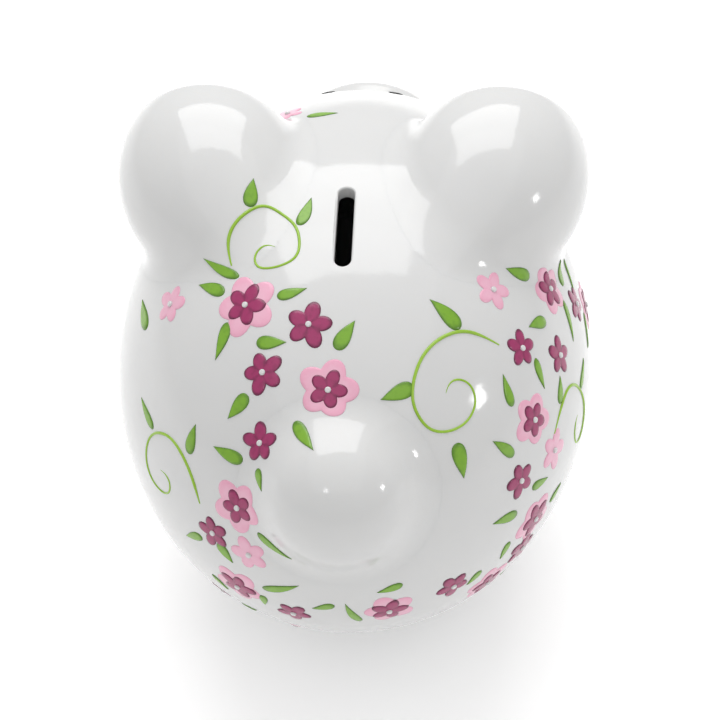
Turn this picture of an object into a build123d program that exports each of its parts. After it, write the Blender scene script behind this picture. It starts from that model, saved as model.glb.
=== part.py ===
"""Ceramic piggy bank: a round hollow pig with cupped ears, a snout, a knob tail and a belly stopper.

The pig faces -Y, its tail points to +Y and its left side is +X.
Z is up, and the feet stand on Z = 0 with the origin under the middle of the whole length.
Every pottery piece is luted to the outside of the body shell and shares its surface.
"""

import os
from math import cos, radians, sin

from build123d import *

os.makedirs("parts", exist_ok=True)

# ---------------------------------------------------------------- driving dimensions, in millimetres
wall = 5.0                  # thickness of the cast pottery

body_radius = 97.5          # half of the width, and half of the height, of the egg-shaped body
front_reach = 133.0         # from the widest section forward to the forehead
rear_reach = 118.5          # from the widest section back to the rump
belly_clearance = 7.0       # floor to the lowest point of the belly

coin_slot_length = 38.0
coin_slot_width = 6.4
coin_slot_back = 21.0       # slot centre behind the widest section
coin_slot_rim = 1.0         # softened edge where the glaze runs into the slot

ear_radius = 37.5
ear_half_length = 48.0      # half of the ear lobe's length along Y before its front is cut off
ear_lean = 36.57            # degrees from upright to the ear centre, round the body's axis
ear_sink = 3.5              # ear centre inside the body's widest radius
ear_forward = 26.0          # ear centre ahead of the widest section
ear_opening = 24.0          # flat opening of the ear ahead of the ear centre
ear_cup_radius = 28.0
ear_cup_half_depth = 22.0
ear_cup_out = 1.0           # cup centre from the ear centre, sideways
ear_cup_forward = 36.0      # ahead of it
ear_cup_up = 4.5            # and above it
ear_rim = 1.8               # rounding of the ear's rim

snout_radius = 36.0
snout_stand = 12.0          # snout's face ahead of the forehead
snout_height = 1.0          # snout axis above the body's axis
snout_edge = 5.0
nostril_spacing = 26.0
nostril_width = 9.0
nostril_height = 15.0
nostril_depth = 3.0

tail_radius = 29.0
tail_rise = 22.86           # degrees above the rump, as the egg's own angle, where the knob sits
tail_sink = 10.0            # knob centre inside the egg there

foot_radius = 16.0          # at the floor
foot_flare = 8.0            # degrees that the foot's side leans outwards on its way up
foot_edge = 2.5
front_foot_side = 35.0
front_foot_forward = 64.0
rear_foot_side = 32.0
rear_foot_back = 20.0

stopper_forward = 12.0      # stopper axis ahead of the widest section
stopper_hole_radius = 18.0
stopper_recess = 6.0        # the flange's seat above the lowest point of the belly
collar_wall = 6.0           # thickness of the seat
collar_margin = 4.5         # collar beyond the flange's recess
flange_radius = 22.0
flange_thickness = 2.5
flange_clearance = 0.5      # around the flange in its recess
plug_clearance = 0.25       # around the plug in its hole
plug_beyond_seat = 8.0      # plug standing past the inside of the collar
plug_wall = 2.5
plug_tip_chamfer = 1.2
pull_tab_width = 16.0
pull_tab_height = 4.5
pull_tab_thickness = 3.0

# ---------------------------------------------------------------- sizes that follow
snout_reach = front_reach + snout_stand
tail_back = (rear_reach - tail_sink) * cos(radians(tail_rise))
tail_height = (body_radius - tail_sink) * sin(radians(tail_rise))
body_y = (snout_reach - tail_back - tail_radius) / 2
body_z = belly_clearance + body_radius
body_centre = Vector(0, body_y, body_z)
ear_side = (body_radius - ear_sink) * sin(radians(ear_lean))
ear_height = (body_radius - ear_sink) * cos(radians(ear_lean))
recess_radius = flange_radius + flange_clearance
seat_z = belly_clearance + stopper_recess
collar_top_z = seat_z + collar_wall
stopper_y = body_y - stopper_forward


def egg(inset):
    """The body's egg, a half ellipse turned about the length, made smaller all round by inset.

    The surface's seam is at the pig's left side, clear of the slot, the belly hole, the ears and the feet.
    """
    top_view = Plane(origin=body_centre, x_dir=(0, 1, 0), z_dir=(0, 0, -1))
    radius = body_radius - inset
    front = front_reach - inset
    rear = rear_reach - inset
    with BuildPart() as solid:
        with BuildSketch(top_view):
            with BuildLine():
                EllipticalCenterArc((0, 0), rear, radius, start_angle=0, arc_size=90)
                EllipticalCenterArc((0, 0), front, radius, start_angle=90, arc_size=90)
                Line((-front, 0), (rear, 0))
            make_face()
        revolve(axis=Axis(body_centre, (0, 1, 0)))
    return solid.part


def lobe(centre, radius, half_length):
    """A closed ellipsoid with a round section, long along Y, whose seam faces the body's axis."""
    inward = Vector(-centre.X, 0, body_z - centre.Z)
    side_view = Plane(origin=centre, x_dir=(0, 1, 0), z_dir=Vector(0, 1, 0).cross(inward))
    with BuildPart() as solid:
        with BuildSketch(side_view):
            with BuildLine():
                EllipticalCenterArc((0, 0), half_length, radius, start_angle=0, arc_size=180)
                Line((-half_length, 0), (half_length, 0))
            make_face()
        revolve(axis=Axis(centre, (0, 1, 0)))
    return solid.part


def luted(solid, void):
    """A hollow piece stuck to the body: what would reach into the body is cut away."""
    with BuildPart() as piece:
        add(solid)
        add(body_outside, mode=Mode.SUBTRACT)
        add(void, mode=Mode.SUBTRACT)
    return piece.part


body_outside = egg(0)
body_inside = egg(wall)

# ---------------------------------------------------------------- body shell
with BuildPart() as collar:
    with BuildSketch(Plane.XY.offset(belly_clearance)):
        with Locations((0, stopper_y)):
            Circle(recess_radius + collar_margin)
    extrude(amount=stopper_recess + collar_wall)
    add(body_outside, mode=Mode.INTERSECT)

with BuildPart() as body_shell:
    add(body_outside)
    add(body_inside, mode=Mode.SUBTRACT)
    add(collar.part)
    with BuildSketch(Plane.XY):
        with Locations((0, stopper_y)):
            Circle(recess_radius)
    extrude(amount=seat_z, mode=Mode.SUBTRACT)
    with BuildSketch(Plane.XY):
        with Locations((0, stopper_y)):
            Circle(stopper_hole_radius)
    extrude(amount=collar_top_z, mode=Mode.SUBTRACT)
    with BuildSketch(Plane.XY.offset(body_z)):
        with Locations((0, body_y + coin_slot_back)):
            SlotOverall(coin_slot_length, coin_slot_width, rotation=90)
    extrude(amount=body_radius, mode=Mode.SUBTRACT)
    slot_edges = body_shell.edges(Select.LAST)
    slot_mouth = slot_edges.filter_by(lambda edge: body_inside.distance_to(edge @ 0.5) > 0.8 * wall)
    fillet(slot_mouth, coin_slot_rim)
body_shell.part.label = "body_shell"
export_step(body_shell.part, "parts/body_shell.step")

# ---------------------------------------------------------------- ears
for side, name in ((1, "left_ear"), (-1, "right_ear")):
    lobe_centre = body_centre + Vector(side * ear_side, -ear_forward, ear_height)
    cup_centre = lobe_centre + Vector(side * ear_cup_out, -ear_cup_forward, ear_cup_up)
    opening_plane = Plane(origin=lobe_centre + Vector(0, -ear_opening, 0), z_dir=(0, 1, 0))
    with BuildPart() as ear_lobe:
        add(lobe(lobe_centre, ear_radius, ear_half_length))
        split(bisect_by=opening_plane, keep=Keep.TOP)
        add(lobe(cup_centre, ear_cup_radius, ear_cup_half_depth), mode=Mode.SUBTRACT)
        fillet(ear_lobe.faces().sort_by(Axis.Y)[0].edges(), ear_rim)
    with BuildPart() as ear_void:
        add(lobe(lobe_centre, ear_radius - wall, ear_half_length - wall))
        split(bisect_by=opening_plane.offset(wall), keep=Keep.TOP)
        add(lobe(cup_centre, ear_cup_radius + wall, ear_cup_half_depth + wall), mode=Mode.SUBTRACT)
    ear = luted(ear_lobe.part, ear_void.part)
    ear.label = name
    export_step(ear, f"parts/{name}.step")

# ---------------------------------------------------------------- snout
snout_face = Plane(origin=body_centre + Vector(0, -snout_reach, snout_height), x_dir=(1, 0, 0), z_dir=(0, -1, 0))
with BuildPart() as snout_disc:
    with BuildSketch(snout_face):
        Circle(snout_radius)
    extrude(amount=-(snout_reach - front_reach / 2))
    fillet(snout_disc.edges().sort_by(Axis.Y)[0], snout_edge)
    with BuildSketch(snout_face):
        with GridLocations(nostril_spacing, 0, 2, 1):
            Ellipse(nostril_width / 2, nostril_height / 2)
    extrude(amount=-nostril_depth, mode=Mode.SUBTRACT)
with BuildPart() as snout_void:
    with BuildSketch(snout_face.offset(-wall - nostril_depth)):
        Circle(snout_radius - wall)
    extrude(amount=-(snout_reach - front_reach / 2 - wall - nostril_depth))
snout = luted(snout_disc.part, snout_void.part)
snout.label = "snout"
export_step(snout, "parts/snout.step")

# ---------------------------------------------------------------- tail
tail_centre = body_centre + Vector(0, tail_back, tail_height)
tail_knob = lobe(tail_centre, tail_radius, tail_radius)
tail_void = lobe(tail_centre, tail_radius - wall, tail_radius - wall)
tail = luted(tail_knob, tail_void)
tail.label = "tail"
export_step(tail, "parts/tail.step")

# ---------------------------------------------------------------- feet
feet = {
    "front_left_foot": (front_foot_side, -front_foot_forward),
    "front_right_foot": (-front_foot_side, -front_foot_forward),
    "rear_left_foot": (rear_foot_side, rear_foot_back),
    "rear_right_foot": (-rear_foot_side, rear_foot_back),
}
for name, (side, back) in feet.items():
    with BuildPart() as foot:
        with BuildSketch(Plane.XY):
            with Locations((side, body_y + back)):
                Circle(foot_radius)
        extrude(amount=body_radius / 2, taper=-foot_flare)
        fillet(foot.edges().sort_by(Axis.Z)[0], foot_edge)
        add(body_outside, mode=Mode.SUBTRACT)
    foot.part.label = name
    export_step(foot.part, f"parts/{name}.step")

# ---------------------------------------------------------------- stopper
plug_height = collar_wall + plug_beyond_seat
plug_radius = stopper_hole_radius - plug_clearance
flange_bottom_z = seat_z - flange_thickness
with BuildPart() as stopper:
    with BuildSketch(Plane.XY.offset(flange_bottom_z)):
        with Locations((0, stopper_y)):
            Circle(flange_radius)
    extrude(amount=flange_thickness)
    with BuildSketch(Plane.XY.offset(seat_z)):
        with Locations((0, stopper_y)):
            Circle(plug_radius)
    extrude(amount=plug_height)
    chamfer(stopper.edges().sort_by(Axis.Z)[-1], plug_tip_chamfer)
    with BuildSketch(Plane.XY.offset(seat_z)):
        with Locations((0, stopper_y)):
            Circle(plug_radius - plug_wall)
    extrude(amount=plug_height, mode=Mode.SUBTRACT)
    with BuildSketch(Plane.XZ.offset(-stopper_y - pull_tab_thickness / 2)):
        with Locations((0, flange_bottom_z)):
            Ellipse(pull_tab_width / 2, pull_tab_height)
    extrude(amount=pull_tab_thickness)
stopper.part.label = "stopper"
export_step(stopper.part, "parts/stopper.step")
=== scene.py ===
# %% [markdown]
# # Glazed piggy bank
# The CAD frame is loaded first. Every piece below takes its place from it. The pottery is one
# white, slip-cast body with ears, snout, tail and feet stuck on before firing, and a rubber
# stopper in the belly. It is painted by hand with flowers, leaves and tendrils under a thick
# clear glaze.

# %% Load the frame
import math
import random

import bmesh
import bpy
import numpy as np
from mathutils import Matrix, Vector


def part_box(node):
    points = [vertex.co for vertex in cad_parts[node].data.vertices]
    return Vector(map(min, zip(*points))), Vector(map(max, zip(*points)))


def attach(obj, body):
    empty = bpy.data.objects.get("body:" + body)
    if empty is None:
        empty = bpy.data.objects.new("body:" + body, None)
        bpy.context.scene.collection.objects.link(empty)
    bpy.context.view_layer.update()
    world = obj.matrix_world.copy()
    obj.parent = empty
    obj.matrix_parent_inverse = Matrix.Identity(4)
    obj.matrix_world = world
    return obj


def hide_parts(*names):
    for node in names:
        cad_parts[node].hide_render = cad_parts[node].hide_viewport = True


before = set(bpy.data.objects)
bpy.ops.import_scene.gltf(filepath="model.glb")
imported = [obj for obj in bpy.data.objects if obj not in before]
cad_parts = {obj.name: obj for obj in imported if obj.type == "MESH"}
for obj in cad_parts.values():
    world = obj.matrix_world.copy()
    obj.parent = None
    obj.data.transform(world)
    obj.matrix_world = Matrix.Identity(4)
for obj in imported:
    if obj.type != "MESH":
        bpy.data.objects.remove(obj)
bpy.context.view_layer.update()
MM = 0.001

# %% [markdown]
# ## The shape of the pottery, as a formula
# Wet clay is smoothed with a sponge, so every stuck-on piece runs into the body in a soft hollow
# curve, and the glaze rounds what is left. Bevelling such joints is hard, because two curved
# surfaces meet there. A signed gap is simpler: a formula that is zero on the surface and positive
# outside it. Two gaps blend with a soft minimum, and a mesh is then drawn onto the place where
# the blend is zero.

# %% Sizes of the body, read from the frame
body_low, body_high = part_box("body_shell")
BODY_RADIUS = (body_high.x - body_low.x) / 2
FRONT_REACH = 133 * MM
BODY_Y = body_low.y + FRONT_REACH
REAR_REACH = body_high.y - BODY_Y
BODY_Z = body_high.z - BODY_RADIUS
BODY_CENTRE = np.array([0.0, BODY_Y, BODY_Z])
WALL = 5 * MM
print("body centre in mm:", (BODY_CENTRE / MM).round(2), "rear reach:", round(REAR_REACH / MM, 2))

# %% Soft joins and cuts
def soft_union(gap_a, gap_b, blend):
    """The two shapes together, with a hollow curve of about that size in the crease."""
    share = np.clip(0.5 + 0.5 * (gap_b - gap_a) / blend, 0, 1)
    return gap_b + (gap_a - gap_b) * share - blend * share * (1 - share)


def soft_cut(gap_a, gap_tool, blend):
    """The first shape with the tool taken out of it, and the edge rounded."""
    return -soft_union(-gap_a, gap_tool, blend)


def ellipsoid_gap(points, centre, radii):
    """About how far each point is outside an ellipsoid. It is negative inside."""
    offset = points - np.asarray(centre)
    radii = np.asarray(radii)
    scaled = np.linalg.norm(offset / radii, axis=1)
    steep = np.linalg.norm(offset / radii**2, axis=1) + 1e-9
    return scaled * (scaled - 1) / steep


def body_gap(points):
    """The egg: one half ellipsoid in front of the widest section and one behind it."""
    reach = np.where(points[:, 1] > BODY_Y, REAR_REACH, FRONT_REACH)
    side = np.full_like(reach, BODY_RADIUS)
    return ellipsoid_gap(points, BODY_CENTRE, np.stack([side, reach, side], 1))


def folded(points):
    """Both sides of the pig, seen as its left one."""
    return np.abs(points * [1, 0, 0]) + points * [0, 1, 1]


above_back = np.array([[0.0, BODY_Y, body_high.z + 1 * MM]])
print("gap 1 mm above the back, in mm:", round(float(body_gap(above_back)[0]) / MM, 3))

# %% [markdown]
# ## Ears, snout, tail and feet
# Each stuck-on piece has its own gap. The two ears and the pairs of feet are the same shape
# mirrored, so one formula on the positive side serves both. The ear is a long lobe cut off flat
# in front, with a cup scooped out of the flat. The snout is a round pad with two nostril dents,
# and the tail is a plain round knob.

# %% Sizes of the stuck-on pieces
ear_low, ear_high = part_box("left_ear")
EAR_RADIUS = 37.5 * MM
EAR_HALF_LENGTH = 48 * MM
EAR_CENTRE = np.array(ear_high) - [EAR_RADIUS, EAR_HALF_LENGTH, EAR_RADIUS]
EAR_OPENING_Y = ear_low.y
EAR_TURN = math.radians(17)
EAR_ROOT_CENTRE = BODY_CENTRE + np.array([38, -3, 79]) * MM
EAR_ROOT_RADII = np.array([21, 33, 16]) * MM
EAR_ROOT_BLEND = 14 * MM
EAR_OPENING_EDGE = 6 * MM
EAR_CUP_CENTRE = np.array([
    EAR_CENTRE[0] + 1 * MM, EAR_OPENING_Y - 12 * MM, EAR_CENTRE[2] + 4.5 * MM])
EAR_CUP_RADII = np.array([28, 22, 28]) * MM
EAR_CUP_EDGE = 4 * MM
EAR_BLEND = 8 * MM

snout_low, snout_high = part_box("snout")
SNOUT_RADIUS = (snout_high.x - snout_low.x) / 2
SNOUT_Z = (snout_high.z + snout_low.z) / 2
SNOUT_Y = snout_low.y
SNOUT_DEPTH = FRONT_REACH / 2
SNOUT_EDGE = 6 * MM
SNOUT_BLEND = 10 * MM
NOSTRIL_CENTRE = np.array([13 * MM, SNOUT_Y - 1.5 * MM, SNOUT_Z])
NOSTRIL_RADII = np.array([5, 5, 8]) * MM
NOSTRIL_EDGE = 2.5 * MM

_, tail_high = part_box("tail")
TAIL_RADIUS = 29 * MM
TAIL_RISE = 34 * MM
TAIL_CENTRE = np.array([0.0, tail_high.y - TAIL_RADIUS, BODY_Z + TAIL_RISE])
TAIL_BLEND = 10 * MM

FOOT_RADIUS = 16 * MM
FOOT_FLARE = math.tan(math.radians(8))
FOOT_EDGE = 4 * MM
FOOT_BLEND = 8 * MM
FOOT_HEIGHT = BODY_Z / 2
FOOT_PLACES = {}
for foot in ("front_left_foot", "rear_left_foot"):
    low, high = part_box(foot)
    FOOT_PLACES[foot] = ((low.x + high.x) / 2, (low.y + high.y) / 2)
    print(foot, "centre in mm:", [round(v / MM, 1) for v in FOOT_PLACES[foot]])
print("ear centre in mm:", (EAR_CENTRE / MM).round(1), "tail centre:", (TAIL_CENTRE / MM).round(1))


# %% Formula of an ear
def ear_gap(points):
    """A lobe, turned a little, melted into its root, cut off flat in front and scooped out."""
    mirrored = folded(points)
    across, along = (mirrored - EAR_CENTRE)[:, :2].T
    turned = mirrored.copy()
    turned[:, 0] = EAR_CENTRE[0] + across * math.cos(EAR_TURN) + along * math.sin(EAR_TURN)
    turned[:, 1] = EAR_CENTRE[1] - across * math.sin(EAR_TURN) + along * math.cos(EAR_TURN)
    lobe = ellipsoid_gap(turned, EAR_CENTRE, (EAR_RADIUS, EAR_HALF_LENGTH, EAR_RADIUS))
    root = ellipsoid_gap(mirrored, EAR_ROOT_CENTRE, EAR_ROOT_RADII)
    cup = ellipsoid_gap(mirrored, EAR_CUP_CENTRE, EAR_CUP_RADII)
    lobe = soft_union(lobe, root, EAR_ROOT_BLEND)
    lobe = soft_cut(lobe, mirrored[:, 1] - EAR_OPENING_Y, EAR_OPENING_EDGE)
    return soft_cut(lobe, cup, EAR_CUP_EDGE)


print("gap at the ear's middle, in mm:", round(float(ear_gap(EAR_CENTRE[None])[0]) / MM, 1))


# %% Formulas of the snout, tail and feet
def rounded_pad_gap(radial, axial, edge):
    """A disc with a rounded edge. Radial and axial are the distances past its side and its face."""
    outside = np.hypot(np.maximum(radial + edge, 0), np.maximum(axial + edge, 0))
    return outside + np.minimum(np.maximum(radial, axial) + edge, 0) - edge


def snout_gap(points):
    radial = np.hypot(points[:, 0], points[:, 2] - SNOUT_Z) - SNOUT_RADIUS
    axial = np.maximum(SNOUT_Y - points[:, 1], points[:, 1] - SNOUT_Y - SNOUT_DEPTH)
    pad = rounded_pad_gap(radial, axial, SNOUT_EDGE)
    nostril = ellipsoid_gap(folded(points), NOSTRIL_CENTRE, NOSTRIL_RADII)
    return soft_cut(pad, nostril, NOSTRIL_EDGE)


def tail_gap(points):
    return ellipsoid_gap(points, TAIL_CENTRE, (TAIL_RADIUS,) * 3)


def foot_gap(points, centre_x, centre_y):
    """A short stub that widens upwards. Its floor end sits where the CAD foot's does."""
    mirrored = folded(points)
    height = mirrored[:, 2]
    radial = np.hypot(mirrored[:, 0] - centre_x, mirrored[:, 1] - centre_y)
    radial = (radial - FOOT_RADIUS - height * FOOT_FLARE) / math.hypot(1, FOOT_FLARE)
    axial = np.maximum(-height, height - FOOT_HEIGHT)
    return rounded_pad_gap(radial, axial, FOOT_EDGE)


# %% All of the pottery in one formula
LUMPS = {
    "ear": (ear_gap, EAR_BLEND),
    "snout": (snout_gap, SNOUT_BLEND),
    "tail": (tail_gap, TAIL_BLEND),
    "front_foot": (lambda points: foot_gap(points, *FOOT_PLACES["front_left_foot"]), FOOT_BLEND),
    "rear_foot": (lambda points: foot_gap(points, *FOOT_PLACES["rear_left_foot"]), FOOT_BLEND),
}


def pottery_gap(points):
    gap = body_gap(points)
    for lump_gap, blend in LUMPS.values():
        gap = soft_union(gap, lump_gap(points), blend)
    return gap


print("pottery gap there, in mm:", round(float(pottery_gap(above_back)[0]) / MM, 3))


# %% Moving points onto a surface
def slope(gap_of, points, step=0.05 * MM):
    """Which way the gap grows fastest: on the surface this is the outward normal."""
    parts = [gap_of(points + offset) - gap_of(points - offset) for offset in np.eye(3) * step]
    return np.stack(parts, 1) / (2 * step)


def onto_surface(gap_of, points, level=0.0, rounds=5):
    """Moves points along the slope until the gap is at the level. Gives their normals too."""
    points = points.copy()
    for _ in range(rounds):
        grad = slope(gap_of, points)
        error = gap_of(points) - level
        points -= grad * (error / (np.sum(grad**2, axis=1) + 1e-9))[:, None]
    normals = slope(gap_of, points)
    normals /= np.linalg.norm(normals, axis=1)[:, None]
    return points, normals


top, top_normal = onto_surface(pottery_gap, above_back)
print("dropped onto the back, mm:", (top[0] / MM).round(2), "normal:", top_normal[0].round(3))

# %% [markdown]
# ## Small helpers for meshes
# A finished piece is an object at the origin with its place in its mesh. Its shading normals can
# be taken from the formula, which is smoother than what the facets alone would give, as on a real
# glazed surface.

# %% Mesh helpers
def vertices_of(mesh):
    places = np.empty(len(mesh.vertices) * 3)
    mesh.vertices.foreach_get("co", places)
    return places.reshape(-1, 3)


def set_vertices(mesh, places):
    mesh.vertices.foreach_set("co", np.ascontiguousarray(places).ravel())
    mesh.update()


def object_from(name, bm_or_mesh):
    if isinstance(bm_or_mesh, bpy.types.Mesh):
        mesh = bm_or_mesh
        mesh.name = name
    else:
        mesh = bpy.data.meshes.new(name)
        bm_or_mesh.to_mesh(mesh)
        bm_or_mesh.free()
    mesh.shade_smooth()
    obj = bpy.data.objects.new(name, mesh)
    bpy.context.scene.collection.objects.link(obj)
    return obj


def evaluated_mesh(obj):
    graph = bpy.context.evaluated_depsgraph_get()
    return bpy.data.meshes.new_from_object(obj.evaluated_get(graph))


def bake(obj):
    """Carries out the object's modifiers on its mesh."""
    mesh = evaluated_mesh(obj)
    obj.modifiers.clear()
    obj.data = mesh


def glaze_normals(obj, gap_of, reach=0.06 * MM, least_match=0.8):
    """Shading normals from the formula, for face corners that lie on its surface and face out."""
    mesh = obj.data
    places = vertices_of(mesh)
    normals = slope(gap_of, places)
    normals /= np.linalg.norm(normals, axis=1)[:, None] + 1e-12
    normals[np.abs(gap_of(places)) > reach] = 0
    corner_vert = np.empty(len(mesh.loops), dtype=int)
    mesh.loops.foreach_get("vertex_index", corner_vert)
    corners = np.empty(len(mesh.polygons), dtype=int)
    mesh.polygons.foreach_get("loop_total", corners)
    facing = np.empty(len(mesh.polygons) * 3)
    mesh.polygons.foreach_get("normal", facing)
    facing = np.repeat(facing.reshape(-1, 3), corners, axis=0)
    wanted = normals[corner_vert]
    wanted[np.sum(wanted * facing, axis=1) < least_match] = 0
    mesh.normals_split_custom_set(wanted)


# %% [markdown]
# ## Rough clay
# Simple closed shapes stand where the pieces are. A voxel remesh welds them into one even skin,
# and the skin is then drawn onto the formula. Splitting that skin at the joints gives one piece
# for each CAD node, with the surface running smoothly from piece to piece.

# %% Rough shapes
QUARTER_TURN = Matrix.Rotation(math.pi / 2, 3, "X")


def add_ball(bm, centre, radii, across=64, rings=32):
    ball = bmesh.ops.create_uvsphere(bm, u_segments=across, v_segments=rings, radius=1)
    bmesh.ops.scale(bm, vec=radii, verts=ball["verts"])
    bmesh.ops.translate(bm, vec=centre, verts=ball["verts"])


def add_egg(bm, inset=0.0, across=64, rings=32):
    """The body's egg with its poles on the nose and the rump."""
    ball = bmesh.ops.create_uvsphere(bm, u_segments=across, v_segments=rings, radius=1)
    bmesh.ops.rotate(bm, cent=(0, 0, 0), matrix=QUARTER_TURN, verts=ball["verts"])
    for vert in ball["verts"]:
        reach = REAR_REACH if vert.co.y > 0 else FRONT_REACH
        vert.co.x *= BODY_RADIUS - inset
        vert.co.y *= reach - inset
        vert.co.z *= BODY_RADIUS - inset
    bmesh.ops.translate(bm, vec=BODY_CENTRE, verts=ball["verts"])


def add_rough_ear(bm, side):
    """A lobe cut off flat in front, with a bowl pressed into the flat by a few insets."""
    ear = bmesh.new()
    add_ball(ear, EAR_CENTRE, (EAR_RADIUS, EAR_HALF_LENGTH, EAR_RADIUS))
    cut = bmesh.ops.bisect_plane(
        ear, geom=ear.verts[:] + ear.edges[:] + ear.faces[:], plane_co=(0, EAR_OPENING_Y, 0),
        plane_no=(0, -1, 0), clear_outer=True)
    rim = [item for item in cut["geom_cut"] if isinstance(item, bmesh.types.BMEdge)]
    flat = bmesh.ops.contextual_create(ear, geom=rim)["faces"]
    for thickness, depth in ((7, 0), (2, -4), (4, -4), (5, -2)):
        bmesh.ops.inset_region(ear, faces=flat, thickness=thickness * MM, depth=depth * MM)
    bmesh.ops.scale(ear, vec=(side, 1, 1), verts=ear.verts)
    if side < 0:
        bmesh.ops.reverse_faces(ear, faces=ear.faces)
    mesh = bpy.data.meshes.new("rough_ear")
    ear.to_mesh(mesh)
    ear.free()
    bm.from_mesh(mesh)
    bpy.data.meshes.remove(mesh)
    add_ball(bm, EAR_ROOT_CENTRE * [side, 1, 1], EAR_ROOT_RADII, across=32, rings=16)


def add_stub(bm, centre, radius_low, radius_high, length, turn=Matrix.Identity(3)):
    stub = bmesh.ops.create_cone(
        bm, cap_ends=True, segments=48, radius1=radius_low, radius2=radius_high, depth=length)
    bmesh.ops.rotate(bm, cent=(0, 0, 0), matrix=turn, verts=stub["verts"])
    bmesh.ops.translate(bm, vec=centre, verts=stub["verts"])


# %% One even skin
VOXEL = 1.3 * MM
BELOW_GLAZE = 0.015 * MM

clay = bmesh.new()
add_egg(clay)
add_ball(clay, TAIL_CENTRE, (TAIL_RADIUS,) * 3)
snout_middle = (0, SNOUT_Y + SNOUT_DEPTH / 2, SNOUT_Z)
add_stub(clay, snout_middle, SNOUT_RADIUS, SNOUT_RADIUS, SNOUT_DEPTH, QUARTER_TURN)
for side in (1, -1):
    add_rough_ear(clay, side)
    for centre_x, centre_y in FOOT_PLACES.values():
        centre = (side * centre_x, centre_y, FOOT_HEIGHT / 2)
        add_stub(clay, centre, FOOT_RADIUS, FOOT_RADIUS + FOOT_HEIGHT * FOOT_FLARE, FOOT_HEIGHT)
skin = object_from("skin", clay)
remesh = skin.modifiers.new("weld", "REMESH")
remesh.mode = "VOXEL"
remesh.voxel_size = VOXEL
bake(skin)
rough = vertices_of(skin.data)
smooth, _ = onto_surface(pottery_gap, rough, level=-BELOW_GLAZE)
largest_move = np.abs(smooth - rough).max() / MM
print("skin vertices:", len(rough), "largest move in mm:", round(largest_move, 2))
set_vertices(skin.data, smooth)

# %% [markdown]
# ## Splitting the skin
# A stuck-on piece reaches as far as its blend does. There its surface meets the plain egg at no
# angle at all, so the seam can't be seen. Below that edge the piece goes a little way into the
# wall and is closed.

# %% Cut the stuck-on pieces out of the skin
SUNK = 2.5 * MM
LID_SUNK = 0.5 * MM


def cut_piece(name, lump, side):
    lump_gap, blend = LUMPS[lump]
    places = vertices_of(skin.data)
    inside = lump_gap(places) - body_gap(places) < blend
    if side:
        inside &= places[:, 0] * side > 0
    piece = bmesh.new()
    piece.from_mesh(skin.data)
    piece.verts.ensure_lookup_table()
    outside = [face for face in piece.faces if not all(inside[vert.index] for vert in face.verts)]
    bmesh.ops.delete(piece, geom=outside, context="FACES")
    border = [edge for edge in piece.edges if edge.is_boundary]
    below = bmesh.ops.extrude_edge_only(piece, edges=border)["geom"]
    low_verts = [item for item in below if isinstance(item, bmesh.types.BMVert)]
    low_edges = [item for item in below if isinstance(item, bmesh.types.BMEdge)]
    sunk, _ = onto_surface(body_gap, np.array([vert.co for vert in low_verts]), level=-SUNK)
    for vert, place in zip(low_verts, sunk):
        vert.co = place
    lids = bmesh.ops.holes_fill(piece, edges=low_edges, sides=0)["faces"]
    middle = bmesh.ops.poke(piece, faces=lids)["verts"]
    centre, _ = onto_surface(body_gap, np.array([vert.co for vert in middle]), level=-LID_SUNK)
    for vert, place in zip(middle, centre):
        vert.co = place
    bmesh.ops.recalc_face_normals(piece, faces=piece.faces)
    still_open = sum(edge.is_boundary for edge in piece.edges)
    print(name, "faces:", len(piece.faces), "lids:", len(lids), "open edges:", still_open)
    obj = object_from(name, piece)
    glaze_normals(obj, pottery_gap)
    return obj


STUCK_ON = {
    "left_ear": ("ear", 1),
    "right_ear": ("ear", -1),
    "snout": ("snout", None),
    "tail": ("tail", None),
    "front_left_foot": ("front_foot", 1),
    "front_right_foot": ("front_foot", -1),
    "rear_left_foot": ("rear_foot", 1),
    "rear_right_foot": ("rear_foot", -1),
}
pottery = []
for node, (lump, side) in STUCK_ON.items():
    piece = cut_piece("glazed_" + node, lump, side)
    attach(piece, "bank")
    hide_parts(node)
    pottery.append(piece)
bpy.data.objects.remove(skin)

# %% [markdown]
# ## The body
# The real body is slip-cast: liquid clay sets as an even 5 mm wall in a plaster mould. Here it is
# an egg with a smaller egg taken out of it. Boolean modifiers take away the cavity, the stopper's
# stepped hole and the coin slot, because those meet a curved wall and the exact solver finds the
# edges by itself.

# %% Stopper seat sizes
stopper_low, stopper_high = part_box("stopper")
FLANGE_RADIUS = (stopper_high.x - stopper_low.x) / 2
STOPPER_Y = (stopper_high.y + stopper_low.y) / 2
RECESS_DEPTH = 6 * MM
COLLAR_THICKNESS = 6 * MM
COLLAR_WIDTH = 5 * MM
SEAT_Z = body_low.z + RECESS_DEPTH
COLLAR_TOP = SEAT_Z + COLLAR_THICKNESS
HOLE_RADIUS = 18 * MM
FLANGE_PLAY = 0.5 * MM
PAST = 10 * MM
print("stopper axis y, seat height in mm:", round(STOPPER_Y / MM, 2), round(SEAT_Z / MM, 2))


def take_away(obj, tool):
    """Cuts the tool's solid out of the object and throws the tool away."""
    cut = obj.modifiers.new("cut", "BOOLEAN")
    cut.operation = "DIFFERENCE"
    cut.solver = "EXACT"
    cut.object = tool
    bake(obj)
    bpy.data.objects.remove(tool)


def drill(obj, name, radius, bottom, top):
    """Takes a cylinder on the stopper's axis away from the object."""
    drum = bmesh.new()
    bmesh.ops.create_cone(
        drum, cap_ends=True, segments=96, radius1=radius, radius2=radius, depth=top - bottom)
    bmesh.ops.translate(drum, vec=(0, STOPPER_Y, (top + bottom) / 2), verts=drum.verts)
    take_away(obj, object_from(name, drum))


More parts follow.
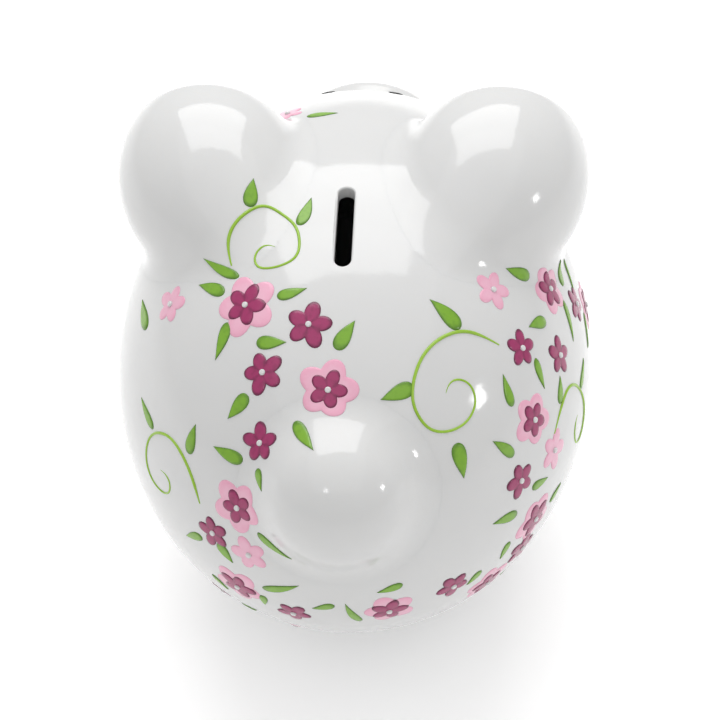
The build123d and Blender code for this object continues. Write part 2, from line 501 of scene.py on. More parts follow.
# %% Cavity with the collar left standing in it
cavity_egg = bmesh.new()
add_egg(cavity_egg, inset=WALL, across=96, rings=48)
cavity = object_from("cavity", cavity_egg)
drill(cavity, "collar", FLANGE_RADIUS + COLLAR_WIDTH, 0, COLLAR_TOP)
print("cavity faces:", len(cavity.data.polygons))

# %% Wall, bore and recess
outer_egg = bmesh.new()
add_egg(outer_egg, across=256, rings=128)
bmesh.ops.recalc_face_normals(outer_egg, faces=outer_egg.faces)
body = object_from("glazed_body", outer_egg)
take_away(body, cavity)
drill(body, "bore", HOLE_RADIUS, -PAST, COLLAR_TOP + PAST)
drill(body, "recess", FLANGE_RADIUS + FLANGE_PLAY, -PAST, SEAT_Z)
print("body faces after the bore:", len(body.data.polygons))

# %% [markdown]
# ## The coin slot
# The potter cuts the slot through leather-hard clay and wipes its edge round with a wet finger,
# and the glaze then runs a little way in. The cutter is a long round-ended outline carried
# upwards ring by ring. Its last rings flare out in a quarter circle that follows the egg, so the
# slot gets its rolled edge from one cut.

# %% Slot sizes
SLOT_HALF_LENGTH = 19 * MM
SLOT_HALF_WIDTH = 3.2 * MM
SLOT_STRAIGHT = SLOT_HALF_LENGTH - SLOT_HALF_WIDTH
SLOT_Y = BODY_Y + 21 * MM
SLOT_RIM = 0.9 * MM
CUTTER_BELOW = 20 * MM


def body_top(x, y):
    along = (y - BODY_Y) / (REAR_REACH if y > BODY_Y else FRONT_REACH)
    return BODY_Z + BODY_RADIUS * math.sqrt(1 - along**2 - (x / BODY_RADIUS) ** 2)


print("back above the slot's ends, z in mm:",
      [round(body_top(0, SLOT_Y + end * SLOT_HALF_LENGTH) / MM, 2) for end in (-1, 1)])

# %% Slot cutter
slot = bmesh.new()
outline = bmesh.ops.create_circle(slot, segments=48, radius=SLOT_HALF_WIDTH)["verts"]
for vert in outline:
    vert.co.y += math.copysign(SLOT_STRAIGHT, vert.co.y)
    vert.co.y += SLOT_Y
    vert.co.z = BODY_Z + BODY_RADIUS - CUTTER_BELOW
ring_edges = slot.edges[:]
bmesh.ops.contextual_create(slot, geom=ring_edges)
flat_outline = [vert.co.copy() for vert in outline]
# Each ring's spread and depth are in rim sizes. The last ring stands clear above the back.
levels = [(1 - math.cos(a), 1 - math.sin(a)) for a in np.radians(np.arange(0, 86, 12))]
levels.append((levels[-1][0] + 0.02, -3))
for spread, depth in levels:
    ring = bmesh.ops.extrude_edge_only(slot, edges=ring_edges)["geom"]
    ring_verts = [item for item in ring if isinstance(item, bmesh.types.BMVert)]
    ring_edges = [item for item in ring if isinstance(item, bmesh.types.BMEdge)]
    for vert in ring_verts:
        nearest = min(flat_outline, key=lambda place: (place.xy - vert.co.xy).length)
        spine_y = SLOT_Y + max(-1, min(1, (nearest.y - SLOT_Y) / SLOT_STRAIGHT)) * SLOT_STRAIGHT
        away = (nearest - Vector((0, spine_y, nearest.z))).normalized()
        vert.co.xy = nearest.xy + away.xy * spread * SLOT_RIM
        vert.co.z = body_top(vert.co.x, vert.co.y) - depth * SLOT_RIM
bmesh.ops.contextual_create(slot, geom=ring_edges)
bmesh.ops.recalc_face_normals(slot, faces=slot.faces)
print("slot cutter faces:", len(slot.faces))
take_away(body, object_from("slot_cutter", slot))

# %% Finish the body
body_mesh = bmesh.new()
body_mesh.from_mesh(body.data)
bmesh.ops.remove_doubles(body_mesh, verts=body_mesh.verts, dist=0.005 * MM)
bad_edges = sum(not edge.is_manifold for edge in body_mesh.edges)
print("body faces:", len(body_mesh.faces), "open edges:", bad_edges)
body_mesh.to_mesh(body.data)
body_mesh.free()
body.data.set_sharp_from_angle(angle=math.radians(35))
glaze_normals(body, body_gap)
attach(body, "bank")
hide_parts("body_shell")
pottery.append(body)

# %% [markdown]
# ## The stopper
# A soft PVC plug with a flange and a small tab to pull it out by. Its profile is turned round the
# axis with spin, and the tab is a flat round disc pushed up into the flange.

# %% Stopper sizes and profile
FLANGE_THICKNESS = 2.5 * MM
FLANGE_BOTTOM = SEAT_Z - FLANGE_THICKNESS
PLUG_PLAY = 0.25 * MM
PLUG_RADIUS = HOLE_RADIUS - PLUG_PLAY
PLUG_TOP = COLLAR_TOP + 8 * MM
PLUG_WALL = 2.5 * MM
TAB_RADIUS = 8 * MM
TAB_THICKNESS = 3 * MM
TAB_HALF_HEIGHT = 4.5 * MM
BORE_FLOOR = SEAT_Z + 0.4 * MM
profile = [
    (0, FLANGE_BOTTOM), (FLANGE_RADIUS - 0.6 * MM, FLANGE_BOTTOM),
    (FLANGE_RADIUS, FLANGE_BOTTOM + 0.6 * MM), (FLANGE_RADIUS, SEAT_Z - 0.5 * MM),
    (FLANGE_RADIUS - 0.5 * MM, SEAT_Z), (PLUG_RADIUS, SEAT_Z),
    (PLUG_RADIUS, PLUG_TOP - 1.2 * MM), (PLUG_RADIUS - 1.2 * MM, PLUG_TOP),
    (PLUG_RADIUS - PLUG_WALL, PLUG_TOP), (PLUG_RADIUS - PLUG_WALL, BORE_FLOOR), (0, BORE_FLOOR),
]
print("stopper length in mm:", round((PLUG_TOP - FLANGE_BOTTOM + TAB_HALF_HEIGHT) / MM, 1))

# %% Stopper
plug = bmesh.new()
points = [plug.verts.new((radius, 0, height)) for radius, height in profile]
edges = [plug.edges.new(pair) for pair in zip(points, points[1:])]
bmesh.ops.spin(
    plug, geom=points + edges, cent=(0, 0, 0), axis=(0, 0, 1), angle=2 * math.pi, steps=96,
    use_merge=True)
bmesh.ops.remove_doubles(plug, verts=plug.verts, dist=0.01 * MM)
tab = bmesh.ops.create_cone(
    plug, cap_ends=True, segments=64, radius1=TAB_RADIUS, radius2=TAB_RADIUS, depth=TAB_THICKNESS)
bmesh.ops.rotate(plug, cent=(0, 0, 0), matrix=QUARTER_TURN, verts=tab["verts"])
bmesh.ops.scale(plug, vec=(1, 1, TAB_HALF_HEIGHT / TAB_RADIUS), verts=tab["verts"])
bmesh.ops.translate(plug, vec=(0, 0, FLANGE_BOTTOM), verts=tab["verts"])
rims = [edge for edge in plug.edges if edge.verts[0] in tab["verts"] and len(edge.link_faces) == 2
        and edge.calc_face_angle(0) > math.radians(60)]
bmesh.ops.bevel(
    plug, geom=rims, offset=0.8 * MM, segments=3, profile=0.5, affect="EDGES", material=-1,
    clamp_overlap=True)
bmesh.ops.translate(plug, vec=(0, STOPPER_Y, 0), verts=plug.verts)
bmesh.ops.recalc_face_normals(plug, faces=plug.faces)
stopper = object_from("rubber_stopper", plug)
stopper.data.set_sharp_from_angle(angle=math.radians(50))
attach(stopper, "stopper")
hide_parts("stopper")
print("stopper faces:", len(stopper.data.polygons))

# %% [markdown]
# ## Painted flowers, leaves and tendrils
# The decoration is thick ceramic paint, laid on with a brush before the last glaze, so every
# stroke stands about half a millimetre proud and catches the light along its edge. A stroke is a
# ball squashed to a thin pad. Its outline is pulled to a flower or leaf shape, and the pad is
# laid on the pottery with the formula, so it follows every curve.
#
# Places on the body are two numbers, as on a globe: how far behind the widest section in mm, and
# how many degrees round from the top towards the pig's left.

# %% Places on the pottery
def spots(rows):
    """Points on the pottery from their body numbers."""
    along, around = np.array(rows, dtype=float).T
    reach = np.where(along > 0, REAR_REACH, FRONT_REACH)
    radius = BODY_RADIUS * np.sqrt(np.maximum(0, 1 - (along * MM / reach) ** 2))
    angle = np.radians(around)
    places = BODY_CENTRE + np.stack([radius * np.sin(angle), along * MM, radius * np.cos(angle)], 1)
    return onto_surface(pottery_gap, places)[0]


print("spot on top of the back, mm:", (spots([(0, 0)])[0] / MM).round(2))


# %% Laying strokes on the glaze
PAD_FOOT = -0.05 * MM
PAD_BELOW = 0.25 * MM


def unit_rows(rows):
    return rows / np.linalg.norm(rows, axis=1)[:, None]


def tangents(places, towards):
    """Two directions along the surface at each place. The first points towards the target."""
    normals = unit_rows(slope(pottery_gap, places))
    first = towards - places
    first = unit_rows(first - normals * np.sum(first * normals, axis=1)[:, None])
    return first, np.cross(normals, first)


class Paint:
    """Strokes of one colour, each a pad between a low and a high level. All are laid on at once."""

    def __init__(self, name, slot_name):
        self.name, self.slot_name, self.bm = name, slot_name, bmesh.new()
        self.verts, self.base, self.level, self.rim, self.cleft = [], [], [], [], []

    def stroke(self, place, first, second, outline, low, high, across=60, rings=12):
        ball = bmesh.ops.create_uvsphere(
            self.bm, u_segments=across, v_segments=rings, radius=1)["verts"]
        pad = np.array([vert.co for vert in ball])
        rim = np.minimum(np.hypot(pad[:, 0], pad[:, 1]), 1)
        flat, cleft = outline(pad[:, :2])
        crown = np.sqrt(1 - rim**8)
        self.verts += ball
        self.base.append(place + flat[:, :1] * first + flat[:, 1:] * second)
        upper = pad[:, 2] > -0.01
        self.level.append(np.where(upper, low + (high - low) * crown, low - PAD_BELOW * crown))
        self.rim.append(rim)
        self.cleft.append(cleft)

    def finish(self):
        bmesh.ops.recalc_face_normals(self.bm, faces=self.bm.faces)
        self.bm.verts.index_update()
        order = np.argsort([vert.index for vert in self.verts])
        obj = object_from(self.name, self.bm)
        places, normals = onto_surface(pottery_gap, np.concatenate(self.base)[order], rounds=3)
        set_vertices(obj.data, places + normals * np.concatenate(self.level)[order, None])
        for name, values in (("rim", self.rim), ("cleft", self.cleft)):
            attribute = obj.data.attributes.new(name, "FLOAT", "POINT")
            attribute.data.foreach_set("value", np.concatenate(values)[order])
        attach(obj, "bank")
        print(self.name, "faces:", len(obj.data.polygons))
        return obj


# %% [markdown]
# ## Outlines of a flower and a leaf
# No two brush marks are alike. The petals differ a little in reach, the flower is turned by
# chance, and a leaf bends one way or the other. The chance is seeded, so every run gives the same
# flowers.

# %% Flower and leaf outlines
FIFTH = math.radians(72)
rng = random.Random(11)


def flower_outline(radius, notch):
    """Five round petals, each a little different, as a brush leaves them."""
    turn = math.radians(6 * rng.randrange(12))
    reach = np.array([1 + rng.uniform(-0.09, 0.07) for _ in range(5)])

    def outline(disc):
        angle = np.arctan2(disc[:, 1], disc[:, 0]) - turn
        petal = np.round(angle / FIFTH)
        swell = np.abs(np.cos(2.5 * (angle - petal * FIFTH))) ** 1.1
        edge = notch + (reach[petal.astype(int) % 5] - notch) * swell
        return disc * (radius * edge)[:, None], swell
    return outline


def leaf_outline(length, width):
    """A teardrop: round where the brush was pressed down, and drawn out to a bent point."""
    bend = rng.choice((-1, 1)) * rng.uniform(0.1, 0.22) * length

    def outline(disc):
        forward = disc[:, 0]
        side = disc[:, 1] * 1.45 * (0.5 - 0.5 * forward) ** 0.62
        share = 0.5 + 0.5 * forward
        flat = np.stack([forward * length / 2, side * width / 2 + bend * (share**2 - 0.35)], 1)
        return flat, np.abs(disc[:, 1])
    return outline


# %% Adding flowers and leaves
LEAF_HEIGHT = 0.42 * MM
FLOWER_SPREAD = 1.07
LEAF_SPREAD = 1.04
# A flower's petals are counted from the direction of the tail.
NEARLY_BACK = [0, 1, 0.01]


def add_flowers(paint, rows, notch, low, high):
    """Rows of along, around and radius in mm."""
    places = spots([row[:2] for row in rows])
    frames = zip(places, *tangents(places, places + NEARLY_BACK))
    for (place, first, second), row in zip(frames, rows):
        outline = flower_outline(row[2] * FLOWER_SPREAD * MM, notch)
        paint.stroke(place, first, second, outline, low, high)


def add_leaves(paint, rows):
    """Rows of the fat end, the tip and the width in mm."""
    starts = spots([start for start, _, _ in rows])
    ends = spots([end for _, end, _ in rows])
    middles, _ = onto_surface(pottery_gap, (starts + ends) / 2)
    lengths = np.linalg.norm(ends - starts, axis=1) * LEAF_SPREAD
    frames = zip(middles, *tangents(middles, ends))
    for (place, first, second), length, row in zip(frames, lengths, rows):
        outline = leaf_outline(length, row[2] * MM)
        paint.stroke(place, first, second, outline, PAD_FOOT, LEAF_HEIGHT, across=36, rings=10)


# %% [markdown]
# ## Where the flowers are
# A large flower is a dark one painted over a pale one. Each row is along, around, pale radius,
# dark radius.

# %% Large flowers
large_flowers = [
    (50.5, 24, 11.5, 8.2), (83, 3, 11, 7.3), (104, 54, 10.5, 7), (106, 112, 10.5, 7.5),
    (114, -137, 10, 7.3), (14.5, -54, 10, 7), (65.6, -63, 10, 7), (77, -95.5, 11, 8),
    (90, -119, 10, 7), (-12, -76, 10, 7), (32, 122, 10.5, 7.4), (-22, 96, 10, 7),
    (-40, -108, 10.5, 7.5), (30, -128, 10, 7), (-75, 62, 9.5, 6.8),
]
small_dark = [
    (62, 8, 8.7), (75, 22, 7.9), (94, 28.5, 7.2), (102, 78, 7), (112.5, 142, 7),
    (105, -109.5, 7.3), (48.5, -49.3, 6.9), (36.5, -62.7, 7.3), (3, -67, 7.5), (81.6, -73.5, 7.3),
    (79, -108, 8), (46, 132, 7.2), (-4, 90, 7.2), (-44, 104, 7), (-18, -96, 7.3), (8, -118, 7.2),
    (60, -134, 7), (82, 134, 7.2), (-92, 74, 6.6), (-88, -66, 6.8),
]
small_pale = [
    (34, 46, 7.7), (34, -37, 7.3), (110.5, 77, 8), (63, -78, 8), (-62, 19, 6.5), (-6, 116, 7.4),
    (-58, -92, 7.2), (92, 160, 7.4), (-72, 92, 7),
]
print("flowers:", len(large_flowers), "large,", len(small_dark), "dark,", len(small_pale), "pale")

# %% Paint the flowers
SHALLOW_NOTCH, DEEP_NOTCH = 0.7, 0.56
PALE_HEIGHT = 0.35 * MM
DARK_HEIGHT = 0.45 * MM
DARK_ON_PALE = (0.2 * MM, 0.7 * MM)
pale = Paint("pale_petals", "pale_pink_paint")
dark = Paint("dark_petals", "magenta_paint")
under = [(along, around, wide) for along, around, wide, _ in large_flowers]
over = [(along, around, small) for along, around, _, small in large_flowers]
add_flowers(pale, under, SHALLOW_NOTCH, PAD_FOOT, PALE_HEIGHT)
add_flowers(dark, over, DEEP_NOTCH, *DARK_ON_PALE)
add_flowers(pale, small_pale, DEEP_NOTCH, PAD_FOOT, PALE_HEIGHT)
add_flowers(dark, small_dark, DEEP_NOTCH, PAD_FOOT, DARK_HEIGHT)
pale_petals = pale.finish()
dark_petals = dark.finish()

# %% [markdown]
# ## Raised dots
# A drop of white slip is trailed from a fine nozzle onto the heart of each flower. It dries as a
# little bead.

# %% Dots
DOT_RADIUS = 1.2 * MM
DOT_HEIGHT = 0.9 * MM
DOT_FOOT_LARGE = 0.55 * MM
DOT_FOOT_SMALL = 0.3 * MM
dots = Paint("petal_dots", "white_glaze")


def dot_outline(disc):
    return disc * DOT_RADIUS, np.ones(len(disc))


hearts = [(along, around, DOT_FOOT_LARGE) for along, around, _, _ in large_flowers]
hearts += [(along, around, DOT_FOOT_SMALL) for along, around, _ in small_dark + small_pale]
places = spots([heart[:2] for heart in hearts])
for place, first, second, heart in zip(places, *tangents(places, places + NEARLY_BACK), hearts):
    low = heart[2]
    dots.stroke(place, first, second, dot_outline, low, low + DOT_HEIGHT, across=20, rings=10)
petal_dots = dots.finish()

# %% [markdown]
# ## Leaves
# One press of a round brush and a flick: the leaf is fat where the brush came down and runs out
# to a point. Each row is the fat end, the tip and the width in mm.

# %% Rows of leaves
leaf_rows = [
    ((9, 22.8), (-7, 28), 5.5), ((20, 11), (8, 7), 5), ((37, 25), (26, 34), 4),
    ((43, 30), (33, 36), 5), ((49, 15.6), (50, 8.4), 4.5), ((33.5, 56), (18, 58.5), 5.5),
    ((54, 30.5), (66, 34), 5), ((64, 22), (68, 14.5), 5.2), ((71, 0), (60.5, -3), 5.6),
    ((79.5, 28.8), (85, 36.6), 5.5), ((91, 13.5), (103, 5.5), 4.8),
    ((95.5, 38), (89.5, 47.6), 5.2), ((100, 31), (105, 30.5), 3.8), ((85.7, 57.4), (79.4, 50), 5),
    ((68, 66.5), (55, 67), 4), ((99, 87), (92, 92), 4), ((104, 82), (107, 92), 5),
    ((110, 54), (115.5, 52), 4), ((112, 107), (117, 104), 4), ((111, 119), (108.5, 128), 3.5),
    ((97, 112), (100, 120), 3), ((117.5, 165), (115.8, 150), 4),
    ((113.5, -163), (117.5, 180), 3.5), ((115, -95), (117, -112), 4), ((98, -105), (100, -113), 4),
    ((88.5, -97), (91.5, -104), 4), ((86.4, -85.5), (94.6, -79.3), 4.7),
    ((80, -64), (81, -53.6), 4.5), ((67.5, -54), (63, -46), 4.3), ((77.5, -80), (70, -84.5), 4),
    ((67, -96), (59, -94.5), 4), ((56, -30), (47, -22.4), 6.4), ((78, -21.3), (85.4, -14), 6),
    ((89.5, -41.6), (94, -53), 6), ((17, -46), (23.4, -39), 5), ((31, -55), (37.5, -49), 5),
    ((47, -55), (54.5, -61), 3.8), ((4, -60), (-6, -55), 4.5), ((13, -59.5), (21, -68), 3.5),
    ((-12, -60), (-3, -66.5), 2.5), ((-2, -73), (8, -79), 3), ((51, -69.5), (42.5, -66), 4),
    ((33, -77), (20, -76), 4), ((-55, 12.5), (-52.5, 4.7), 4.5), ((-66, 27), (-60, 24.5), 3),
    ((48, 120), (56, 124), 4.8), ((6, 100), (-4, 101), 4.8), ((20, 122), (12, 126), 4.6),
    ((-34, 90), (-44, 86), 4.8), ((-10, 102), (-16, 108), 4.4), ((52, 118), (64, 120), 4.8),
    ((90, 140), (98, 138), 4.4), ((-28, -104), (-26, -94), 4.6), ((-52, -106), (-62, -108), 4.8),
    ((20, -120), (18, -110), 4.4), ((42, -130), (50, -126), 4.8), ((-68, -94), (-76, -88), 4.6),
    ((-84, 66), (-88, 58), 4.4), ((-66, 70), (-60, 78), 4.6), ((-80, -70), (-72, -74), 4.4),
    ((66, -130), (74, -126), 4.6),
]
print("leaves:", len(leaf_rows))

# %% Paint the leaves
leaves = Paint("painted_leaves", "leaf_green_paint")
add_leaves(leaves, leaf_rows)
painted_leaves = leaves.finish()

# %% [markdown]
# ## Tendrils
# A liner brush draws each curl in one pull, thick at its root and thin in its eye. The line is a
# smooth NURBS curve through body numbers. Its points are dropped onto the glaze and given a round
# bevel that thins out.

# %% Paths of the tendrils
tendrils = [
    [(32.4, 26.8), (24, 27.3), (15, 26.4), (9.6, 22.7), (9.5, 19), (12.9, 15.3), (19.4, 11.3),
     (27, 10), (35, 10.2), (37.8, 13.4), (38.3, 17.4), (36.7, 20.4), (32.4, 21.3), (28.5, 20),
     (27, 17.8), (29, 16)],
    [(53.2, -42.4), (53.5, -37.2), (54.3, -32.6), (57.8, -28.4), (63.2, -24.5), (70, -22),
     (77.7, -21.5), (83.4, -22.9), (86.9, -26.5), (89, -31.4), (87.7, -36.8), (84.3, -40.8),
     (80.1, -42.6), (75.3, -42.2), (71.9, -39.6), (70.8, -36.9), (71.4, -33.6), (74, -31.7),
     (77.2, -32.1)],
    [(96, 69.5), (92.5, 64.5), (87, 61), (79.5, 60.4), (74, 62.5), (67.5, 68.7), (68, 78),
     (73.7, 84), (83.6, 82.4), (85.4, 76), (82.3, 73), (78.3, 75)],
    [(60, -74), (48, -69.5), (38, -71), (33, -77), (31, -83), (33, -88), (38, -91), (44, -90),
     (47, -86), (45, -82), (40.5, -81.5)],
    [(54, 122), (52, 114), (44, 108), (34, 104), (24, 102), (14, 104), (10, 110), (16, 114),
     (23, 112), (23, 108)],
    [(-30, -86), (-40, -80), (-52, -78), (-60, -82), (-60, -88), (-52, -91), (-46, -88),
     (-48, -84)],
    [(-56, 84), (-50, 76), (-40, 74), (-32, 78), (-32, 84), (-40, 86), (-44, 82)],
]
print("tendrils:", len(tendrils), "points:", sum(len(row) for row in tendrils))


# %% Draw the tendrils
LINE_RADIUS = 0.66 * MM
LINE_SUNK = 0.1 * MM


def curve_mesh(curve):
    """The mesh that a curve gives. The curve is thrown away."""
    holder = bpy.data.objects.new(curve.name, curve)
    bpy.context.scene.collection.objects.link(holder)
    mesh = evaluated_mesh(holder)
    bpy.data.objects.remove(holder)
    return mesh


strokes = bpy.data.curves.new("painted_tendrils", "CURVE")
strokes.dimensions = "3D"
strokes.bevel_depth = LINE_RADIUS
strokes.bevel_resolution = 3
strokes.use_fill_caps = True
for row in tendrils:
    line = bpy.data.curves.new("line", "CURVE")
    line.dimensions = "3D"
    spline = line.splines.new("NURBS")
    spline.points.add(len(row) - 1)
    for point, place in zip(spline.points, spots(row)):
        point.co = (*place, 1)
    spline.order_u = 4
    spline.use_endpoint_u = True
    spline.resolution_u = 10
    path, _ = onto_surface(pottery_gap, vertices_of(curve_mesh(line)), level=-LINE_SUNK)
    stroke = strokes.splines.new("POLY")
    stroke.points.add(len(path) - 1)
    for share, point, place in zip(np.linspace(0, 1, len(path)), stroke.points, path):
        point.co = (*place, 1)
        # The line thins towards its eye, and both of its ends are rounded off.
        point.radius = (1.12 - 0.5 * share) * min(1, 0.45 + 12 * share, 0.35 + 12 * (1 - share))
painted_tendrils = object_from("painted_tendrils", curve_mesh(strokes))
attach(painted_tendrils, "bank")
print("tendril faces:", len(painted_tendrils.data.polygons))

# %% [markdown]
# ## Eyes
# Two plain black ovals on the forehead, just above the snout, painted as thick as the flowers.

# %% Eyes
EYE_HALF_HEIGHT = 4.9 * MM
EYE_HALF_WIDTH = 3.3 * MM
EYE_THICKNESS = 0.6 * MM
eyes = Paint("painted_eyes", "black_paint")


def eye_outline(disc):
    return disc * [EYE_HALF_HEIGHT, EYE_HALF_WIDTH], np.ones(len(disc))


places = spots([(-100, 13), (-100, -13)])
for place, first, second in zip(places, *tangents(places, places + [0, 0, 1])):
    eyes.stroke(place, first, second, eye_outline, PAD_FOOT, EYE_THICKNESS, across=36)
painted_eyes = eyes.finish()

# %% [markdown]
# ## Materials
# One helper turns a sRGB hex colour into the linear values that the shaders want, and one adds a
# node. Sockets that share a name are called by their place, so the places get names here. A noise
# pattern's scale is how many patches fit in a metre, and one more helper works that out from the
# size of a patch.

# %% Material helpers
MIX_SHARE, MIX_FIRST, MIX_SECOND, MIX_COLOUR = 0, 6, 7, 2
VALUE, FROM_LOW, FROM_HIGH, TO_LOW, TO_HIGH = range(5)


def patches(size):
    """Noise scale for patches of about this size in mm."""
    return 1 / (size * MM)


def linear(hex_colour):
    channels = [int(hex_colour[i:i + 2], 16) / 255 for i in (1, 3, 5)]
    return [c / 12.92 if c <= 0.04045 else ((c + 0.055) / 1.055) ** 2.4 for c in channels] + [1.0]


def new_material(name):
    material = bpy.data.materials.new(name)
    material.use_nodes = True
    return material, material.node_tree, material.node_tree.nodes["Principled BSDF"]


def add_node(tree, kind, settings=None, inputs=None):
    """Adds a node. A value in inputs is set, and a socket is linked."""
    node = tree.nodes.new(kind)
    for key, value in (settings or {}).items():
        setattr(node, key, value)
    for key, value in (inputs or {}).items():
        if isinstance(value, bpy.types.NodeSocket):
            tree.links.new(value, node.inputs[key])
        else:
            node.inputs[key].default_value = value
    return node


def let_light_in(shader, share, depths):
    """Light wanders under the skin, as far as the depths in mm for red, green and blue."""
    shader.inputs["Subsurface Weight"].default_value = share
    shader.inputs["Subsurface Radius"].default_value = [depth * MM for depth in depths]
    shader.inputs["Subsurface Scale"].default_value = 1.0


def drift(tree, shader, place, size, detail, colours, roughness=None):
    """Lets the colour, and the roughness if given, drift between two values over patches in mm."""
    cloud = add_node(tree, "ShaderNodeTexNoise", inputs={
        "Vector": place, "Scale": patches(size), "Detail": detail}).outputs["Fac"]
    tint = add_node(tree, "ShaderNodeMix", {"data_type": "RGBA"}, {
        MIX_SHARE: cloud, MIX_FIRST: linear(colours[0]), MIX_SECOND: linear(colours[1])})
    tree.links.new(tint.outputs[MIX_COLOUR], shader.inputs["Base Color"])
    if roughness:
        gloss = add_node(tree, "ShaderNodeMapRange", inputs={
            VALUE: cloud, TO_LOW: roughness[0], TO_HIGH: roughness[1]})
        tree.links.new(gloss.outputs[0], shader.inputs["Roughness"])


def give(material, *objects):
    for obj in objects:
        obj.data.materials.clear()
        obj.data.materials.append(material)
    print(material.name, "nodes:", len(material.node_tree.nodes), "pieces:", len(objects))


# %% [markdown]
# ## White glaze
# Glazed earthenware: a white body under about half a millimetre of clear, glassy glaze. The glaze
# is hard and bright, but it pools unevenly, so reflections waver over a couple of centimetres. A
# much finer ripple, like the skin of an orange, softens their edges.

# %% White glaze material
glaze, tree, shader = new_material("white_glazed_earthenware")
shader.inputs["IOR"].default_value = 1.52
let_light_in(shader, 0.12, (4, 3.5, 3))
place = add_node(tree, "ShaderNodeTexCoord").outputs["Object"]
drift(tree, shader, place, 45.5, 2.0, ("#CACAC9", "#C6C6C6"), (0.07, 0.13))
pool = add_node(tree, "ShaderNodeTexNoise", inputs={
    "Vector": place, "Scale": patches(22.2), "Detail": 1.0})
orange_peel = add_node(tree, "ShaderNodeTexNoise", inputs={
    "Vector": place, "Scale": patches(2.63), "Detail": 1.0})
peel_share = add_node(tree, "ShaderNodeMath", {"operation": "MULTIPLY"}, {
    0: orange_peel.outputs["Fac"], 1: 0.05})
height = add_node(tree, "ShaderNodeMath", {"operation": "ADD"}, {
    0: pool.outputs["Fac"], 1: peel_share.outputs[0]})
bump = add_node(tree, "ShaderNodeBump", inputs={
    "Height": height.outputs[0], "Strength": 1.0, "Distance": 0.35 * MM})
tree.links.new(bump.outputs[0], shader.inputs["Normal"])
give(glaze, *pottery)

# %% [markdown]
# ## Stopper rubber
# Moulded soft PVC: slightly see-through and satin, with a fine grain from its mould. Light goes a
# few millimetres into it, which subsurface scattering gives. The grain is half a millimetre,
# coarser than the real one, or it would not show.

# %% Stopper material
rubber, tree, shader = new_material("moulded_soft_pvc")
shader.inputs["IOR"].default_value = 1.53
let_light_in(shader, 0.35, (3, 2.6, 2))
place = add_node(tree, "ShaderNodeTexCoord").outputs["Object"]
drift(tree, shader, place, 8.33, 3.0, ("#D9D6CC", "#CBC7BB"), (0.38, 0.55))
grain = add_node(tree, "ShaderNodeTexNoise", inputs={
    "Vector": place, "Scale": patches(0.4545), "Detail": 1.0})
bump = add_node(tree, "ShaderNodeBump", inputs={
    "Height": grain.outputs["Fac"], "Strength": 0.4, "Distance": 0.1 * MM})
tree.links.new(bump.outputs[0], shader.inputs["Normal"])
give(rubber, stopper)

# %% [markdown]
# ## Ceramic paint
# Underglaze colour is fired to a glassy skin. A brush leaves it thin in the middle of a stroke
# and lets it pool at the edges, so every stroke is darker along its rim, and a little streaky
# over a couple of millimetres.

# %% Paint materials
def paint(name, middle, edge, rim_from, rough, cleft=0.0):
    """Paint that turns to the edge colour near a stroke's rim and in its clefts."""
    material, tree, shader = new_material(name)
    shader.inputs["IOR"].default_value = 1.5
    rim = add_node(tree, "ShaderNodeAttribute", {"attribute_name": "rim"}).outputs["Fac"]
    swell = add_node(tree, "ShaderNodeAttribute", {"attribute_name": "cleft"}).outputs["Fac"]
    place = add_node(tree, "ShaderNodeTexCoord").outputs["Object"]
    streak = add_node(tree, "ShaderNodeTexNoise", inputs={
        "Vector": place, "Scale": patches(2.38), "Detail": 2.0})
    near_rim = add_node(tree, "ShaderNodeMapRange", {"interpolation_type": "SMOOTHSTEP"}, {
        VALUE: rim, FROM_LOW: rim_from, FROM_HIGH: 1.0})
    in_cleft = add_node(tree, "ShaderNodeMapRange", {"interpolation_type": "SMOOTHSTEP"}, {
        VALUE: swell, FROM_LOW: 0.75, FROM_HIGH: 0.1, TO_HIGH: cleft})
    both = add_node(tree, "ShaderNodeMath", {"operation": "MAXIMUM"}, {
        0: near_rim.outputs[0], 1: in_cleft.outputs[0]})
    patchy = add_node(tree, "ShaderNodeMapRange", inputs={
        VALUE: streak.outputs["Fac"], FROM_LOW: 0.3, FROM_HIGH: 0.7, TO_LOW: -0.25, TO_HIGH: 0.25})
    share = add_node(tree, "ShaderNodeMath", {"operation": "ADD", "use_clamp": True}, {
        0: both.outputs[0], 1: patchy.outputs[0]})
    colour = add_node(tree, "ShaderNodeMix", {"data_type": "RGBA"}, {
        MIX_SHARE: share.outputs[0], MIX_FIRST: linear(middle), MIX_SECOND: linear(edge)})
    tree.links.new(colour.outputs[MIX_COLOUR], shader.inputs["Base Color"])
    gloss = add_node(tree, "ShaderNodeMapRange", inputs={
        VALUE: streak.outputs["Fac"], TO_LOW: rough, TO_HIGH: rough + 0.12})
    tree.links.new(gloss.outputs[0], shader.inputs["Roughness"])
    bump = add_node(tree, "ShaderNodeBump", inputs={
        "Height": streak.outputs["Fac"], "Strength": 0.35, "Distance": 0.3 * MM})
    tree.links.new(bump.outputs[0], shader.inputs["Normal"])
    return material


give(paint("fired_magenta_underglaze", "#93295B", "#5C1239", 0.78, 0.14, 0.45), dark_petals)
give(paint("fired_pale_pink_underglaze", "#DBA8BB", "#D99DB3", 0.55, 0.14, 0.3), pale_petals)
give(paint("fired_leaf_green_underglaze", "#719E28", "#4F781C", 0.6, 0.14), painted_leaves)
give(paint("fired_yellow_green_underglaze", "#89B02E", "#789F28", 0.5, 0.16), painted_tendrils)
give(paint("fired_black_underglaze", "#151314", "#0D0C0D", 0.7, 0.12), painted_eyes)
give(glaze, petal_dots)

# %% [markdown]
# ## Table
# A plain white table. It is matt card with very little shine, and it glows faintly, because a
# bright room lights a real white table from all sides.

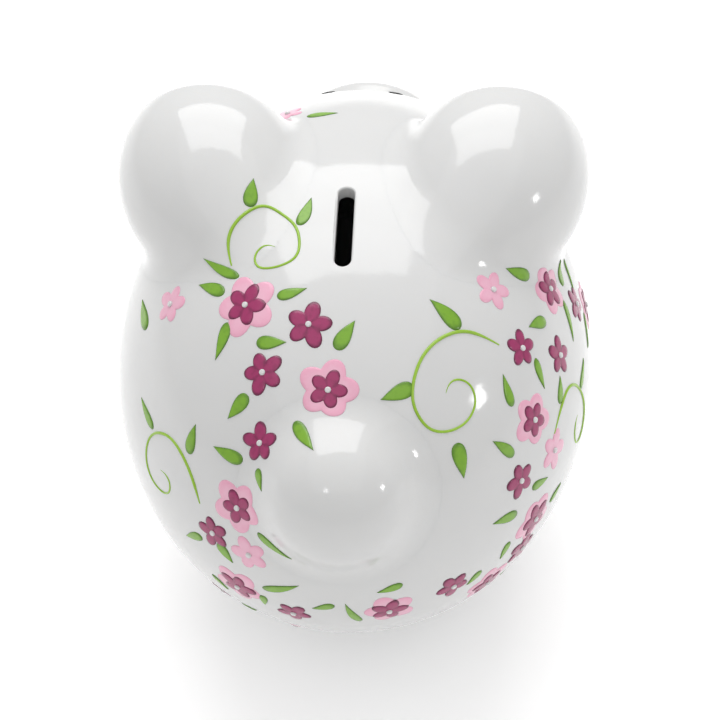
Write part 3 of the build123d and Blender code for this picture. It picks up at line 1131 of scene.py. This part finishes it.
# %% Table
TABLE_HALF_SIZE = 4.0
table_grid = bmesh.new()
bmesh.ops.create_grid(table_grid, x_segments=1, y_segments=1, size=TABLE_HALF_SIZE)
floor = object_from("table_top", table_grid)
table, tree, shader = new_material("matt_white_card")
shader.inputs["Roughness"].default_value = 0.9
shader.inputs["Specular IOR Level"].default_value = 0.2
shader.inputs["Emission Color"].default_value = linear("#FFFFFF")
shader.inputs["Emission Strength"].default_value = 0.15
place = add_node(tree, "ShaderNodeTexCoord").outputs["Object"]
drift(tree, shader, place, 333, 2.0, ("#FAFAFA", "#F7F7F7"))
give(table, floor)

# %% [markdown]
# ## Camera
# The camera looks down on the pig's back from behind, with a long lens from a little under a
# metre away. Three directions at right angles, back, right and up, give its turn, and the roll
# tips the last two.

# %% Camera
TARGET = Vector((0, 4 * MM, BODY_Z))
CAMERA_DISTANCE = 0.9
YAW = math.radians(4.5)
ELEVATION = math.radians(45)
ROLL = math.radians(-2.4)
level_back = Vector((-math.sin(YAW), math.cos(YAW), 0))
back = level_back * math.cos(ELEVATION) + Vector((0, 0, math.sin(ELEVATION)))
right = Vector((0, 0, 1)).cross(back).normalized()
up = back.cross(right)
right_rolled = math.cos(ROLL) * right + math.sin(ROLL) * up
up_rolled = -math.sin(ROLL) * right + math.cos(ROLL) * up
camera_data = bpy.data.cameras.new("camera")
camera_data.lens = 108
camera_data.sensor_width = 36
camera_data.shift_x = 0.0065
camera_data.shift_y = -0.0056
camera = bpy.data.objects.new("camera", camera_data)
turn = Matrix((right_rolled, up_rolled, back)).transposed().to_4x4()
camera.matrix_world = Matrix.Translation(TARGET + CAMERA_DISTANCE * back) @ turn
bpy.context.scene.collection.objects.link(camera)
bpy.context.scene.camera = camera
print("camera in mm:", [round(v / MM) for v in camera.matrix_world.translation])

# %% [markdown]
# ## Light
# A large softbox hangs over the far side and makes the broad white reflections on the ears, the
# back and the tail. A bigger and softer panel overhead lights the whole pig. Two small lamps, one
# well to the right of the camera and one a little to its left, make the small glints, and the
# pale room fills in the rest.


# %% Lights
def softbox(name, direction, distance, width, height, power):
    """An area light that faces the pig. Distances are in metres and power in watts."""
    light = bpy.data.lights.new(name, "AREA")
    light.shape = "RECTANGLE"
    light.size = width
    light.size_y = height
    light.energy = power
    light.color = linear("#FFFFFF")[:3]
    lamp = bpy.data.objects.new(name, light)
    direction = Vector(direction).normalized()
    lamp.location = TARGET + direction * distance
    lamp.rotation_euler = direction.to_track_quat("Z", "Y").to_euler()
    bpy.context.scene.collection.objects.link(lamp)
    print(name, "power in W:", power)


softbox("far_softbox", (0.05, -0.53, 0.85), 1.3, 1.25, 1.1, 11.5)
softbox("ceiling_panel", (0, 0.15, 1), 1.9, 3.0, 3.0, 12.0)
turn_right = Matrix.Rotation(math.radians(62), 3, up)
turn_left = Matrix.Rotation(math.radians(-16), 3, up)
softbox("right_lamp", turn_right @ back, 1.2, 0.13, 0.13, 0.7)
softbox("left_lamp", turn_left @ back, 1.2, 0.10, 0.10, 0.2)

# %% Pale room
world = bpy.data.worlds.new("pale_room")
world.use_nodes = True
sky = world.node_tree.nodes["Background"]
sky.inputs["Color"].default_value = linear("#FFFFFF")
sky.inputs["Strength"].default_value = 0.70
bpy.context.scene.world = world
bpy.context.scene.view_settings.view_transform = "Standard"
print("room strength:", round(sky.inputs["Strength"].default_value, 2))
